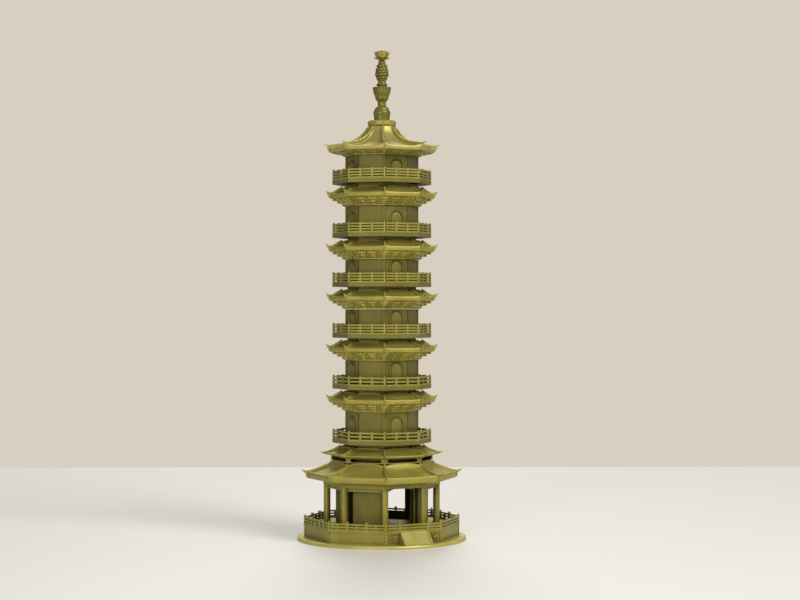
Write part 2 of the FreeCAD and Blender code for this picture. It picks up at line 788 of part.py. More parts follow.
# ---------------------------------------------------------------- finial
def make_finial():
    """Bowl, octagonal cup, ring, bud and crown, stacked on a pin that drops into the cap roof."""
    bowl_bottom = "ring_top"
    cup_bottom = "ring_top + bowl_height"
    finial_ring_bottom = f"{cup_bottom} + cup_height"
    bud_bottom = f"{finial_ring_bottom} + finial_ring_height"
    crown_bottom = f"{bud_bottom} + bud_height"

    pin = cylinder("pin_shaft", "pin_radius", "pin_length + pin_socket",
                   z="ring_top - pin_length")
    node(pin, "finial_pin")

    bowl = turned("bowl_turning_body", [
        ("pin_radius", bowl_bottom),
        ("bowl_radius - 0.4", bowl_bottom),
        ("bowl_radius - 0.5", f"{bowl_bottom} + 2.4"),
        ("bowl_radius", f"{bowl_bottom} + 4.4"),
        ("bowl_radius - 0.2", f"{bowl_bottom} + 5.5"),
        ("bowl_radius - 1.3", f"{bowl_bottom} + 8.0"),
        ("neck_radius", f"{bowl_bottom} + 9.2"),
        ("neck_radius", cup_bottom),
        ("0", cup_bottom),
        ("0", f"{bowl_bottom} + pin_socket"),
        ("pin_radius", f"{bowl_bottom} + pin_socket"),
    ])
    node(bowl, "finial_bowl")

    cup = octagon_loft("cup_loft", [
        ("neck_radius", cup_bottom),
        ("cup_corner * 0.74", f"{cup_bottom} + 2.5"),
        ("cup_corner * 0.79", f"{cup_bottom} + 3.7"),
        ("cup_corner * 0.93", f"{cup_bottom} + 5.3"),
        ("cup_corner", f"{cup_bottom} + cup_height - 0.6"),
        ("cup_corner - 0.6", f"{cup_bottom} + cup_height"),
    ])
    node(cup, "finial_cup")

    ring = turned("finial_ring_body", [
        ("0", finial_ring_bottom),
        ("finial_ring_radius - 0.4", finial_ring_bottom),
        ("finial_ring_radius", f"{finial_ring_bottom} + 0.5"),
        ("finial_ring_radius", f"{finial_ring_bottom} + 1.3"),
        ("finial_ring_radius - 0.8", f"{finial_ring_bottom} + 1.8"),
        ("finial_ring_radius - 0.9", bud_bottom),
        ("0", bud_bottom),
    ])
    node(ring, "finial_ring")

    bud = turned("bud_body", [
        ("0", bud_bottom),
        ("bud_radius - 2", bud_bottom),
        ("bud_radius - 0.9", f"{bud_bottom} + 1.8"),
        ("bud_radius", f"{bud_bottom} + 4"),
        ("bud_radius - 0.2", f"{bud_bottom} + 5.5"),
        ("bud_radius - 1.2", f"{bud_bottom} + 10.2"),
        ("bud_radius - 2.3", crown_bottom),
        ("0", crown_bottom),
    ])
    node(bud, "finial_bud")

    stem = turned("crown_stem", [
        ("0", crown_bottom),
        ("1.9", crown_bottom),
        ("1.5", f"{crown_bottom} + crown_height - 2"),
        ("1.0", f"{crown_bottom} + crown_height - 0.6"),
        ("0.4", f"{crown_bottom} + crown_height"),
        ("0", f"{crown_bottom} + crown_height"),
    ])
    petal = padded("crown_petal", "XZ_Plane", [
        ("0.6", f"{crown_bottom} + 0.6"),
        ("2.8", f"{crown_bottom} + 0.6"),
        ("crown_radius", f"{crown_bottom} + 1.3"),
        ("3.4", f"{crown_bottom} + 2.6"),
        ("crown_radius - 0.6", f"{crown_bottom} + 4.8"),
        ("0.6", f"{crown_bottom} + 5.2"),
    ], "1.5", turn=22.5)
    node(fuse("crown_fuse", [stem] + copies(petal, FACES)), "finial_crown")


make_foot()
make_plinth()
make_ramp()
make_terrace_railing()
make_gallery()
make_hall()
make_lower_roof()
make_clerestory()
make_upper_eave()
for storey in STOREYS:
    make_balcony(storey)
    make_balcony_railing(storey)
    make_drum(storey)
    make_doors(storey)
    make_brackets(storey)
    if storey < STOREYS[-1]:
        make_roof(storey)
make_cap_roof()
make_finial()
doc.recompute()

failed = [item.Label for item in doc.Objects
          if any(state in ("Invalid", "Error") for state in item.State)]
if failed:
    raise SystemExit(f"failed objects: {failed}")
for item in nodes:
    shape = item.Shape
    if shape.isNull() or not shape.isValid() or not shape.Solids:
        raise SystemExit(f"bad shape: {item.Label}")
    print(f"{item.Label}: {len(shape.Solids)} solids, {shape.Volume:.1f} mm3")
for item in nodes:
    item.Shape.exportStep(os.path.join("parts", f"{item.Label}.step"))
print(len(nodes), "nodes")
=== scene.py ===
import math
import bmesh
import bpy
from mathutils import Matrix, Vector, noise


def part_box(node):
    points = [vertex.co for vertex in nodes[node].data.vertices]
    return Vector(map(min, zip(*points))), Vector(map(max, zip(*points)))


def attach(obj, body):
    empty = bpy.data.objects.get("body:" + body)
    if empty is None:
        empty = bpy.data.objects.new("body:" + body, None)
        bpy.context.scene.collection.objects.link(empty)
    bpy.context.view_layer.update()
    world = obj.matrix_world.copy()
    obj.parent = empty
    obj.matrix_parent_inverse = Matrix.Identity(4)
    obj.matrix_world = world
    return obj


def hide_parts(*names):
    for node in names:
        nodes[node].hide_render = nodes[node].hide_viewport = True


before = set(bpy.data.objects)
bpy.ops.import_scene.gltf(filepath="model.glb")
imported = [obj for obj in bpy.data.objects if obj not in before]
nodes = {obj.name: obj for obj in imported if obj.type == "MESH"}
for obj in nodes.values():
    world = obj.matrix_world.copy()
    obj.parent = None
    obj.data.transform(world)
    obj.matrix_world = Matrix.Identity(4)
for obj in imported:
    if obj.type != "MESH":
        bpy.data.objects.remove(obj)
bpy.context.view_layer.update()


# ---- Foot disc, plinth and entrance ramp ----
# The tower stands on one round moulded disc. The octagonal plinth, its thin coping and the steep
# ramp with two kerbs are moulded in the same satin olive-gold plastic, with soft mould edges.
MM = 0.001
STOREYS = range(2, 8)


def olive_plastic(name, tone, recess_shade=0.25, dark=(0.275, 0.238, 0.042),
                  light=(0.365, 0.320, 0.066), roughness=0.40):
    """Satin moulded plastic: clouded olive gold, a fine orange-peel skin, uneven polish.

    tone lightens or darkens the colour to make lit and shaded copies, and the third argument is the
    share of it left in a deep recess by the painted shade."""
    material = bpy.data.materials.new(name)
    material.use_nodes = True
    tree = material.node_tree
    shader = tree.nodes["Principled BSDF"]
    shader.inputs["Metallic"].default_value = 0.4
    shader.inputs["Specular IOR Level"].default_value = 0.3
    where = tree.nodes.new("ShaderNodeTexCoord")

    clouds = tree.nodes.new("ShaderNodeTexNoise")
    clouds.inputs["Scale"].default_value = 90.0
    clouds.inputs["Detail"].default_value = 5.0
    clouds.inputs["Roughness"].default_value = 0.6
    shades = tree.nodes.new("ShaderNodeValToRGB")
    shades.color_ramp.elements[0].position = 0.3
    shades.color_ramp.elements[0].color = (*[tone * part for part in dark], 1.0)
    shades.color_ramp.elements[1].position = 0.7
    shades.color_ramp.elements[1].color = (*[tone * part for part in light], 1.0)
    tree.links.new(where.outputs["Object"], clouds.inputs["Vector"])
    tree.links.new(clouds.outputs["Fac"], shades.inputs["Fac"])

    # Painted shade: ambient occlusion darkens the colour in recesses, gaps and under overhangs, most
    # in a deep recess.
    open_air = tree.nodes.new("ShaderNodeAmbientOcclusion")
    open_air.samples = 8
    open_air.inputs["Distance"].default_value = 9.0 * MM
    depth = tree.nodes.new("ShaderNodeMapRange")
    depth.inputs["From Min"].default_value = 0.1
    depth.inputs["From Max"].default_value = 0.85
    depth.inputs["To Min"].default_value = recess_shade
    depth.inputs["To Max"].default_value = 1.0
    painted_shade = tree.nodes.new("ShaderNodeVectorMath")
    painted_shade.operation = "MULTIPLY"
    tree.links.new(open_air.outputs["AO"], depth.inputs["Value"])
    tree.links.new(shades.outputs["Color"], painted_shade.inputs[0])
    tree.links.new(depth.outputs["Result"], painted_shade.inputs[1])
    tree.links.new(painted_shade.outputs["Vector"], shader.inputs["Base Color"])

    polish = tree.nodes.new("ShaderNodeMapRange")
    polish.inputs["To Min"].default_value = roughness - 0.07
    polish.inputs["To Max"].default_value = roughness + 0.09
    tree.links.new(clouds.outputs["Fac"], polish.inputs["Value"])
    tree.links.new(polish.outputs["Result"], shader.inputs["Roughness"])

    skin = tree.nodes.new("ShaderNodeTexNoise")
    skin.inputs["Scale"].default_value = 1400.0
    skin.inputs["Detail"].default_value = 3.0
    relief = tree.nodes.new("ShaderNodeBump")
    relief.inputs["Strength"].default_value = 0.25
    relief.inputs["Distance"].default_value = 0.05 * MM
    tree.links.new(where.outputs["Object"], skin.inputs["Vector"])
    tree.links.new(skin.outputs["Fac"], relief.inputs["Height"])
    tree.links.new(relief.outputs["Normal"], shader.inputs["Normal"])
    return material


# olive_gold is the plain tone. The lighter copies are painted light on the cap roof, ramp, roofs,
# collar and foot disc;
# two of them carry a bluer light colour as a painted sheen. The darker copy is painted shade on
# walls, hall and finial.
olive = olive_plastic("olive_gold", 0.93)
olive_lit_sheen = olive_plastic("olive_gold_lit_sheen", 1.22, 0.7, (0.275, 0.238, 0.060),
                             (0.365, 0.320, 0.094))
olive_open_lit = olive_plastic("olive_gold_open_lit", 1.04, 0.6, roughness=0.48)
olive_shaded = olive_plastic("olive_gold_shaded", 0.55)
olive_lit_foot = olive_plastic("olive_gold_lit_foot", 1.6, 0.8, (0.275, 0.238, 0.060),
                           (0.365, 0.320, 0.094))


def dress(name, material, edge=0.12):
    """Give a carried-over node its finish and soft moulded edges, edge wide in millimetres."""
    node = nodes[name]
    node.data.materials.clear()
    node.data.materials.append(material)
    soft = node.modifiers.new("soft_edges", "BEVEL")
    soft.width = edge * MM
    soft.segments = 2
    soft.limit_method = "ANGLE"
    soft.angle_limit = math.radians(35)
    soft.harden_normals = True
    return node


# The foot disc and the ramp take lighter copies with a bluer sheen: painted light and painted sheen.
dress("base_disc", olive_lit_foot, 0.3)
dress("plinth", olive, 0.18)
dress("entrance_ramp", olive_lit_sheen, 0.15)


# ---- Carved relief panels ----
# A shallow carved panel fills the plinth wall on each side of the ramp: rolling scroll work in a
# narrow raised border, moulded with the plinth.
def finished(name, mesh_maker, material, body, replaced=None, sharp=40.0):
    """Turn a bmesh into a piece that rides on a body, smooth except at its sharp edges."""
    mesh = bpy.data.meshes.new(name)
    bmesh.ops.recalc_face_normals(mesh_maker, faces=mesh_maker.faces)
    mesh_maker.to_mesh(mesh)
    mesh_maker.free()
    for face in mesh.polygons:
        face.use_smooth = True
    mesh.set_sharp_from_angle(angle=math.radians(sharp))
    mesh.materials.append(material)
    piece = bpy.data.objects.new(name, mesh)
    bpy.context.scene.collection.objects.link(piece)
    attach(piece, body)
    if replaced:
        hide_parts(replaced)
    return piece


RELIEF_SEED = 7


def carve_relief():
    # Without a seed, noise_vector takes its offsets from the clock.
    noise.seed_set(RELIEF_SEED)
    low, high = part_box("plinth_relief")
    wall = high.y
    depth = wall - low.y
    inner = 10.5 * MM
    width = high.x - inner
    height = high.z - low.z
    columns = 40
    rows = 28
    carving = bmesh.new()
    for side in (-1, 1):
        grid = []
        for row in range(rows + 1):
            line = []
            for column in range(columns + 1):
                across = column / columns
                up = row / rows
                edge = min(across, 1 - across) * width
                rim = min(edge, min(up, 1 - up) * height) / MM
                border = max(0.0, 1.0 - abs(rim - 0.35) / 0.3)
                place = Vector((across * 3.1 + side * 7, up * 3.1, 0.5))
                bend = noise.noise_vector(place) * 0.9
                swirl = math.sin(14 * noise.noise(place + bend) + 5 * bend.x)
                inside = min(1.0, max(0.0, (rim - 0.6) / 0.4))
                out = depth * (0.1 + 0.85 * max(border, inside * (0.5 + 0.5 * swirl)))
                if rim < 0.01:
                    out = 0.0
                line.append(carving.verts.new((
                    side * (inner + across * width), wall - out, low.z + up * height)))
            grid.append(line)
        for row in range(rows):
            for column in range(columns):
                carving.faces.new((grid[row][column], grid[row][column + 1],
                                   grid[row + 1][column + 1], grid[row + 1][column]))
        edge_loop = grid[0] + [line[-1] for line in grid[1:]]
        edge_loop += grid[-1][-2::-1] + [line[0] for line in grid[-2:0:-1]]
        carving.faces.new(edge_loop)
    return finished("carved_relief", carving, olive, "base", "plinth_relief", sharp=60)


carve_relief()


# ---- Terrace railing ----
# Eight railing panels stand on the plinth's edge: two rows of slots between thin bars, square
# posts at the thirds, short balusters between them and a round post with a pointed cap.
dress("terrace_railing", olive, 0.1)


# ---- Gallery columns and hall ----
# Eight round columns carry a ring of boards. The hall behind them has corner posts, closed wall
# panels with a slit at each end, two open windows and a braced doorway.
for part in ("gallery_columns", "gallery_beam", "gallery_tie_rails"):
    dress(part, olive, 0.12)
# The hall's panels, windows, doorway and lintels take the darker copy: painted shade under the lower
# roof.
for part in ("hall_panels", "hall_windows", "hall_doorway", "hall_lintels"):
    dress(part, olive_shaded, 0.12)
# The hall's corner posts are nearly black and rougher: a painted shadow in the slits beside the wall
# panels.
painted_shadow_plastic = olive_plastic("olive_gold_painted_shadow", 0.12, roughness=0.7)
dress("hall_posts", painted_shadow_plastic, 0.12)


# ---- Lower roof ----
# One moulded octagonal roof over the gallery. Each face is a smooth shallow pan between rounded
# hip ridges, the eave is a thick lip, and every corner sweeps out and up into a thin horn.
CORNER = math.radians(22.5)


def at(points, share):
    """The point a share of the way through a few control points (Catmull-Rom)."""
    first, last = points[0], points[-1]
    ends = [tuple(2 * a - b for a, b in zip(first, points[1]))]
    ends += list(points) + [tuple(2 * a - b for a, b in zip(last, points[-2]))]
    spans = len(points) - 1
    place = share * spans
    span = min(int(place), spans - 1)
    t = place - span
    before, start, end, after = ends[span:span + 4]
    return tuple(
        0.5 * (2 * b + (c - a) * t + (2 * a - 5 * b + 4 * c - d) * t * t
               + (3 * b - a - 3 * c + d) * t ** 3)
        for a, b, c, d in zip(before, start, end, after))


def along(points, count):
    """A smooth run of count + 1 points through the control points, ends included."""
    return [at(points, step / count) for step in range(count + 1)]


def octagon_ring(mesh, middle, hip, reach=1.0, rise=1.0, lift=None, steps=16):
    """One closed ring of a roof: middle is (distance, height) of the face's middle, hip the
    (radius, height) of the corner. reach and rise say how late the corner sweeps out and up,
    and lift gives extra height at a distance inward from the hip line."""
    ring = []
    for face in range(8):
        turn = face * math.pi / 4
        for step in range(-steps, steps):
            near = 1 - abs(step) / steps
            side = math.copysign(1 - near ** 1.7, step) if step else 0.0
            size = abs(side)
            flat_corner = middle[0] / math.cos(CORNER)
            out = middle[0] * (1 + (hip[0] / flat_corner - 1) * size ** reach)
            half_side = out * math.tan(CORNER)
            across = side * half_side
            z = middle[1] + (hip[1] - middle[1]) * size ** rise
            if lift:
                z += lift(half_side * (1 - size))
            ring.append(mesh.verts.new((
                out * math.cos(turn) - across * math.sin(turn),
                out * math.sin(turn) + across * math.cos(turn), z)))
    return ring


def skin_rings(mesh, rings):
    """Join rings into one closed surface with a flat end on the first and the last."""
    for lower, upper in zip(rings, rings[1:]):
        count = len(lower)
        for index in range(count):
            following = (index + 1) % count
            mesh.faces.new((lower[index], lower[following], upper[following], upper[index]))
    mesh.faces.new(rings[0])
    mesh.faces.new(rings[-1])


def hip_blade(mesh, points, turn):
    """A rounded ridge that ends in an upturned horn, standing on the corner at turn. Each
    point is (radius, top, bottom, width)."""
    sides = 12
    loops = []
    for radius, top, bottom, width in along(points, 30):
        loop = []
        for side in range(sides):
            angle = 2 * math.pi * side / sides
            across = width / 2 * math.copysign(abs(math.cos(angle)) ** 0.6, math.cos(angle))
            up = math.copysign(abs(math.sin(angle)) ** 0.6, math.sin(angle))
            z = (top + bottom) / 2 + up * (top - bottom) / 2
            loop.append(mesh.verts.new((
                radius * math.cos(turn) - across * math.sin(turn),
                radius * math.sin(turn) + across * math.cos(turn), z)))
        loops.append(loop)
    skin_rings(mesh, loops)


def frame_lift(from_hip, from_eave, ridge, lip, round_corner, height):
    """How high the raised frame stands at a place on a roof face; its pan has round corners."""
    side = from_hip - ridge
    foot = from_eave - lip
    inside = min(side, foot)
    if side < round_corner and foot < round_corner:
        inside = round_corner - math.hypot(round_corner - side, round_corner - foot)
    share = min(1.0, max(0.0, (inside + 0.4 * MM) / (0.6 * MM)))
    return height * (1 - share * share * (3 - 2 * share))


# By default a roof takes a lighter copy of the plastic: painted light on its open slopes.
def moulded_roof(name, body, replaced, middle, hip, lip, soffit, blade, frame_sizes, rows=18,
                 cap=None, material=olive_open_lit):
    """A concave roof: eight sunk pans in a raised frame, a rounded fascia, a soffit and horns.

    middle and hip are control points from the neck to the eave; lip is the lower edge of the
    fascia at the middle of a face and at the corner; soffit is (radius, height) under the roof;
    frame_sizes are the frame's width by the ridge and by the eave, corner radius and height."""
    roof = bmesh.new()
    ridge, eave, round_corner, height = (size * MM for size in frame_sizes)
    shares = [1 - (1 - row / rows) ** 1.6 for row in range(rows + 1)]
    slope = [at(middle, share) for share in shares]
    to_eave = [0.0]
    for outer, inner in zip(slope[:0:-1], slope[-2::-1]):
        to_eave.insert(0, to_eave[0] + math.dist(outer, inner))
    rings = []
    for share, middle_point, from_eave in zip(shares, slope, to_eave):
        rings.append(octagon_ring(
            roof, middle_point, at(hip, share), 6.0, 3.0 + 2.0 * share,
            lambda from_hip: frame_lift(from_hip, from_eave, ridge, eave, round_corner, height)))
    (edge, edge_z), (corner, corner_z) = middle[-1], hip[-1]
    (low_edge, low_z), (low_corner, low_corner_z) = lip
    for share in (0.04, 0.14, 0.3, 0.5, 0.7, 0.88, 0.97, 1.0):
        swell = 0.35 * MM * math.sin(math.pi * share) ** 0.7
        rings.append(octagon_ring(
            roof,
            (edge + (low_edge - edge) * share + swell,
             edge_z + height + (low_z - edge_z - height) * share),
            (corner + (low_corner - corner) * share + swell,
             corner_z + height + (low_corner_z - corner_z - height) * share), 6.0, 5.0))
    flat_soffit = (soffit[0] * math.cos(CORNER), soffit[1])
    for share in (0.15, 0.5, 1.0):
        under = (low_edge + (flat_soffit[0] - low_edge) * share,
                 low_z + (flat_soffit[1] - low_z) * share)
        below_corner = (low_corner + (soffit[0] - low_corner) * share,
                        low_corner_z + (soffit[1] - low_corner_z) * share)
        rings.append(octagon_ring(roof, under, below_corner, 6.0, 5.0))
    skin_rings(roof, rings)
    if cap:
        radius, low, high = cap
        collar = [octagon_ring(roof, (radius * math.cos(CORNER), z), (radius, z))
                  for z in (low, high)]
        skin_rings(roof, collar)
    for face in range(8):
        hip_blade(roof, blade, face * math.pi / 4 + CORNER)
    return finished(name, roof, material, body, replaced)


def offsets(points, top):
    """Millimetre points with heights measured from top, in metres."""
    return [(radius * MM, top + z * MM) for radius, z in points]


def stations(points, top):
    """Stations of a blade: radius, top, bottom and width in millimetres, heights from top."""
    return [(radius * MM, top + high * MM, top + low * MM, width * MM)
            for radius, high, low, width in points]


def build_lower_roof():
    low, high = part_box("lower_roof")
    top = high.z
    moulded_roof(
        "lower_roof_moulding", "base", "lower_roof",
        middle=offsets([(28.9, 0), (29.3, -1.2), (31.0, -3.4), (34.0, -5.1), (38.0, -6.7),
                        (42.3, -8.3)], top),
        hip=offsets([(31.5, -1.4), (32.4, -3.4), (36.0, -4.9), (40.3, -6.6), (45.5, -7.9)], top),
        lip=offsets([(42.0, -10.8), (45.2, -11.0)], top),
        soffit=(41.5 * MM, low.z),
        blade=stations([(31.4, -0.1, -2.4, 1.3), (32.6, -1.75, -4.2, 1.3), (36.0, -3.15, -5.6, 1.3),
                        (40.3, -4.8, -7.3, 1.3), (43.6, -5.75, -9.0, 1.3),
                        (45.8, -6.1, -10.6, 1.2), (46.7, -6.15, -8.3, 1.0),
                        (47.6, -6.0, -7.1, 0.75), (49.05, -5.5, -6.1, 0.5)], top),
        frame_sizes=(0.8, 1.5, 1.6, 1.1), rows=24)


build_lower_roof()


# ---- Clerestory and second eave ----
# A short octagonal neck with one dark slot in each face lifts a second, smaller eave, whose
# collar is the seat for the first balcony.
dress("clerestory", olive, 0.12)


def build_upper_eave():
    low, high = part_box("upper_eave")
    top = high.z
    moulded_roof(
        "upper_eave_moulding", "base", "upper_eave",
        middle=offsets([(23.4, -1.9), (24.0, -3.2), (26.2, -4.6), (29.0, -5.7), (32.1, -6.6)], top),
        hip=offsets([(25.4, -2.4), (29.1, -4.6), (32.0, -5.8), (34.7, -6.4)], top),
        lip=offsets([(31.9, -7.2), (34.4, -7.25)], top),
        soffit=(31.3 * MM, low.z),
        blade=stations([(25.2, -1.2, -3.0, 1.3), (29.1, -3.4, -5.6, 1.3), (32.5, -4.8, -6.6, 1.2),
                        (34.8, -5.45, -7.1, 1.1), (36.0, -5.55, -6.65, 0.8),
                        (37.25, -5.5, -6.0, 0.5)], top),
        frame_sizes=(0.7, 1.1, 1.8, 0.5), cap=(21.0 * MM, top - 2.2 * MM, top))


build_upper_eave()


# ---- Balconies, railings, wall drums and doors ----
# Each upper storey is one moulding: a slab with a slotted railing, an octagonal wall with flat
# pilasters on its corners, and an arched door with a sunk leaf on every other face.
def arch_points(half, springing, foot, inset=0.0):
    """Points up one jamb, over the arch and down the other, as (across, height)."""
    reach = half - inset
    points = [(-reach, foot), (-reach, springing * 0.5 + foot * 0.5), (-reach, springing)]
    for step in range(1, 16):
        turn = math.pi * step / 16
        points.append((-reach * math.cos(turn), springing + reach * math.sin(turn)))
    points += [(reach, springing), (reach, springing * 0.5 + foot * 0.5), (reach, foot)]
    return points


DOOR_HALF = 4.7 * MM
DOOR_DEPTH = 0.6 * MM
DOOR_BEAD = 0.45 * MM


def arched_door(mesh, wall, half, foot, top, turn):
    """A raised round architrave with a nearly flat leaf in a groove, on the face at turn."""
    springing = top - half
    bead = DOOR_BEAD

    def on_face(out, across, z):
        return mesh.verts.new((out * math.cos(turn) - across * math.sin(turn),
                               out * math.sin(turn) + across * math.cos(turn), z))

    loops = []
    route = arch_points(half, springing, foot, bead)
    for index, (across, z) in enumerate(route):
        ahead = route[min(index + 1, len(route) - 1)]
        behind = route[max(index - 1, 0)]
        along_x, along_z = ahead[0] - behind[0], ahead[1] - behind[1]
        length = math.hypot(along_x, along_z)
        side_x, side_z = along_z / length, -along_x / length
        loop = []
        for corner in range(8):
            angle = 2 * math.pi * corner / 8
            out = wall + DOOR_DEPTH * math.sin(angle)
            aside = bead * math.cos(angle)
            loop.append(on_face(out, across + side_x * aside, z + side_z * aside))
        loops.append(loop)
    skin_rings(mesh, loops)

    leaf = []
    for inset, out in ((1.35, -0.1), (1.35, 0.25), (1.5, 0.36), (2.2, 0.38)):
        leaf.append([on_face(wall + out * MM, across, z)
                     for across, z in arch_points(half, springing, foot, inset * MM)])
    skin_rings(mesh, leaf)


def build_doors(storey):
    low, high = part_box(f"doors_{storey}")
    wall = high.x - DOOR_DEPTH
    doors = bmesh.new()
    for quarter in range(4):
        arched_door(doors, wall, DOOR_HALF, low.z, high.z, quarter * math.pi / 2)
    finished(f"arched_doors_{storey}", doors, olive_shaded_door, f"storey_{storey}",
             f"doors_{storey}", sharp=50)


# Doors, balcony slabs and drum walls take darker copies of the plastic: painted shade under the
# balconies and eaves.
olive_shaded_door = olive_plastic("olive_gold_shaded_door", 0.66, 0.3)
olive_shaded_slab = olive_plastic("olive_gold_shaded_slab", 0.56, 0.15)
for storey in STOREYS:
    dress(f"balcony_{storey}", olive_shaded_slab, 0.15)
    dress(f"railing_{storey}", olive, 0.09)
    dress(f"drum_{storey}", olive_shaded, 0.12)
    build_doors(storey)


# ---- Bracket bands ----
# Under each eave a thin ledge carries stepped bracket sets: two on each face and one on each
# corner. A set is a block, a short arm with three bearing blocks and a longer arm above it.
def block(mesh, length, width, height, out, across, z, turn):
    """A small block with soft edges: out from the axis, across the face, standing on z."""
    made = bmesh.ops.create_cube(mesh, size=1.0)["verts"]
    place = (Matrix.Rotation(turn, 4, "Z") @ Matrix.Translation((out, across, z + height / 2))
             @ Matrix.Diagonal((length, width, height, 1.0)))
    bmesh.ops.transform(mesh, matrix=place, verts=made)
    edges = list({edge for vert in made for edge in vert.link_edges})
    bmesh.ops.bevel(mesh, geom=edges, offset=0.08 * MM, segments=1, affect="EDGES")


def bracket_set(mesh, root, reach, bottom, rise, across, spread, turn):
    """Three tiers that step out from root to reach and spread along the face."""
    buried = 1.2 * MM
    arm_width = 1.1 * MM
    arm_back = 0.9 * MM
    bearing_length = 1.2 * MM
    bearing_width = 1.0 * MM
    tier = rise / 3
    arm_lift = tier * 0.12
    for level in range(3):
        out = root + (reach - root) * (level + 1) / 3
        z = bottom + tier * level
        width = spread * (0.34, 0.66, 1.0)[level]
        length = out - root + buried
        middle = (out + root - buried) / 2
        block(mesh, length, arm_width, tier, middle, across, z, turn)
        arm = tier * 0.5
        block(mesh, arm_width, width, arm, out - arm_back, across, z + arm_lift, turn)
        if level:
            for side in (-1, 1):
                block(mesh, bearing_length, bearing_width, tier - arm, out - arm_back,
                      across + side * (width / 2 - bearing_width / 2), z + arm_lift + arm, turn)


def build_brackets(storey):
    low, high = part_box(f"brackets_{storey}")
    rise = high.z - low.z
    ledge = 0.7 * MM
    ledge_gap = 0.25 * MM
    ledge_corner = 23.6 * MM
    cone_foot = 23.2 * MM
    cone_head = 29.3 * MM
    core = 21.6 * MM
    face_reach = 27.4 * MM
    corner_reach = 30.3 * MM
    set_offset = 3.3 * MM
    face_spread = 4.6 * MM
    corner_spread = 4.2 * MM
    band = bmesh.new()
    for foot, head, bottom, top in (
            (cone_foot, cone_head, low.z + ledge, high.z),
            (ledge_corner, ledge_corner, low.z + ledge_gap, low.z + ledge)):
        skin_rings(band, [octagon_ring(band, (corner * math.cos(CORNER), z), (corner, z), steps=2)
                          for corner, z in ((foot, bottom), (head, top))])
    face_core = core * math.cos(CORNER)
    for face in range(8):
        turn = face * math.pi / 4
        for side in (-1, 1):
            bracket_set(band, face_core, face_reach, low.z + ledge, rise - ledge,
                        side * set_offset, face_spread, turn)
        bracket_set(band, core, corner_reach, low.z + ledge, rise - ledge, 0.0, corner_spread,
                    turn + CORNER)
    finished(f"bracket_band_{storey}", band, olive_lit_band, f"storey_{storey}",
             f"brackets_{storey}", sharp=30)


# The bracket bands take a lighter copy of the plastic with little shade in their recesses: painted
# light.
olive_lit_band = olive_plastic("olive_gold_lit_band", 1.3, 0.75)
for storey in STOREYS:
    build_brackets(storey)


# ---- Storey roofs ----
# The five roofs between the storeys are alike: a short concave slope, rounded hips that end in
# upturned horns, a thick eave lip, and a narrow collar that seats the next balcony.
def build_storey_roof(storey):
    low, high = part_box(f"roof_{storey}")
    top = high.z
    moulded_roof(
        f"roof_moulding_{storey}", f"storey_{storey}", f"roof_{storey}",
        middle=offsets([(22.7, -1.6), (23.2, -2.8), (24.6, -4.4), (26.8, -5.9), (29.2, -6.9)], top),
        hip=offsets([(24.6, -2.6), (28.0, -4.9), (30.2, -6.1), (31.5, -6.4)], top),
        lip=offsets([(29.1, -8.4), (31.4, -8.65)], top),
        soffit=(29.0 * MM, low.z),
        blade=stations([(24.3, -0.9, -3.2, 1.3), (26.5, -2.2, -4.8, 1.3), (28.5, -3.4, -6.2, 1.3),
                        (30.4, -4.45, -7.8, 1.2), (31.9, -4.65, -8.5, 1.1), (32.8, -4.45, -7.0, 0.9),
                        (33.6, -4.1, -5.4, 0.7), (34.25, -3.65, -4.15, 0.45)], top),
        frame_sizes=(0.7, 1.2, 2.2, 1.0), cap=(21.0 * MM, top - 2.0 * MM, top))


for storey in STOREYS[:-1]:
    build_storey_roof(storey)


# ---- Cap roof and collar ring ----
# The top roof climbs in one concave sweep to a narrow neck, under a plain round collar ring.
def build_cap_roof():
    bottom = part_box("roof_7")[0].z
    # The cap roof takes the lightest copy with a bluer sheen: painted light and painted sheen.
    moulded_roof(
        "cap_roof_moulding", "storey_7", "roof_7",
        middle=offsets([(7.6, 16.2), (9.0, 12.2), (12.0, 8.4), (17.0, 5.2), (23.4, 2.9),
                        (30.5, 1.2)], bottom),
        hip=offsets([(8.3, 15.0), (10.4, 11.2), (14.7, 7.2), (21.0, 4.6), (28.0, 3.7),
                     (32.7, 3.3)], bottom),
        lip=offsets([(30.2, 0.1), (32.2, 0.4)], bottom),
        soffit=(28.5 * MM, bottom),
        blade=stations([(8.6, 16.2, 14.4, 1.5), (9.6, 15.3, 13.2, 1.5), (11.9, 12.2, 10.0, 1.5),
                        (15.4, 9.3, 7.2, 1.5), (19.5, 7.4, 5.2, 1.5), (24.0, 6.2, 4.1, 1.5),
                        (29.0, 5.5, 3.0, 1.4), (31.8, 5.15, 0.9, 1.3), (33.2, 5.05, 1.6, 1.1),
                        (33.9, 5.05, 3.9, 0.9), (34.8, 5.1, 4.5, 0.7),
                        (35.95, 5.25, 4.85, 0.5)], bottom),
        frame_sizes=(1.0, 1.4, 5.0, 1.0), rows=30, material=olive_lit_sheen)
    dress("collar_ring", olive_open_lit, 0.2)


build_cap_roof()


# ---- Finial ----
# A turned bowl, a lotus cup with eight petals a tier, a ring, a bud of small scales and a pointed
# lotus crown are stacked on a pin. The crown is rubbed to a warmer gold than the rest.
def turned_piece(mesh, outline, corners=48):
    """A solid of revolution through (radius, height) points."""
    rings = []
    for radius, z in outline:
        rings.append([mesh.verts.new((
            radius * math.cos(2 * math.pi * index / corners),
            radius * math.sin(2 * math.pi * index / corners), z))
            for index in range(corners)])
    skin_rings(mesh, rings)


finial_gold = olive_plastic("finial_gold", 0.85, 0.15, (0.30, 0.232, 0.045),
                            (0.44, 0.345, 0.085), 0.36)


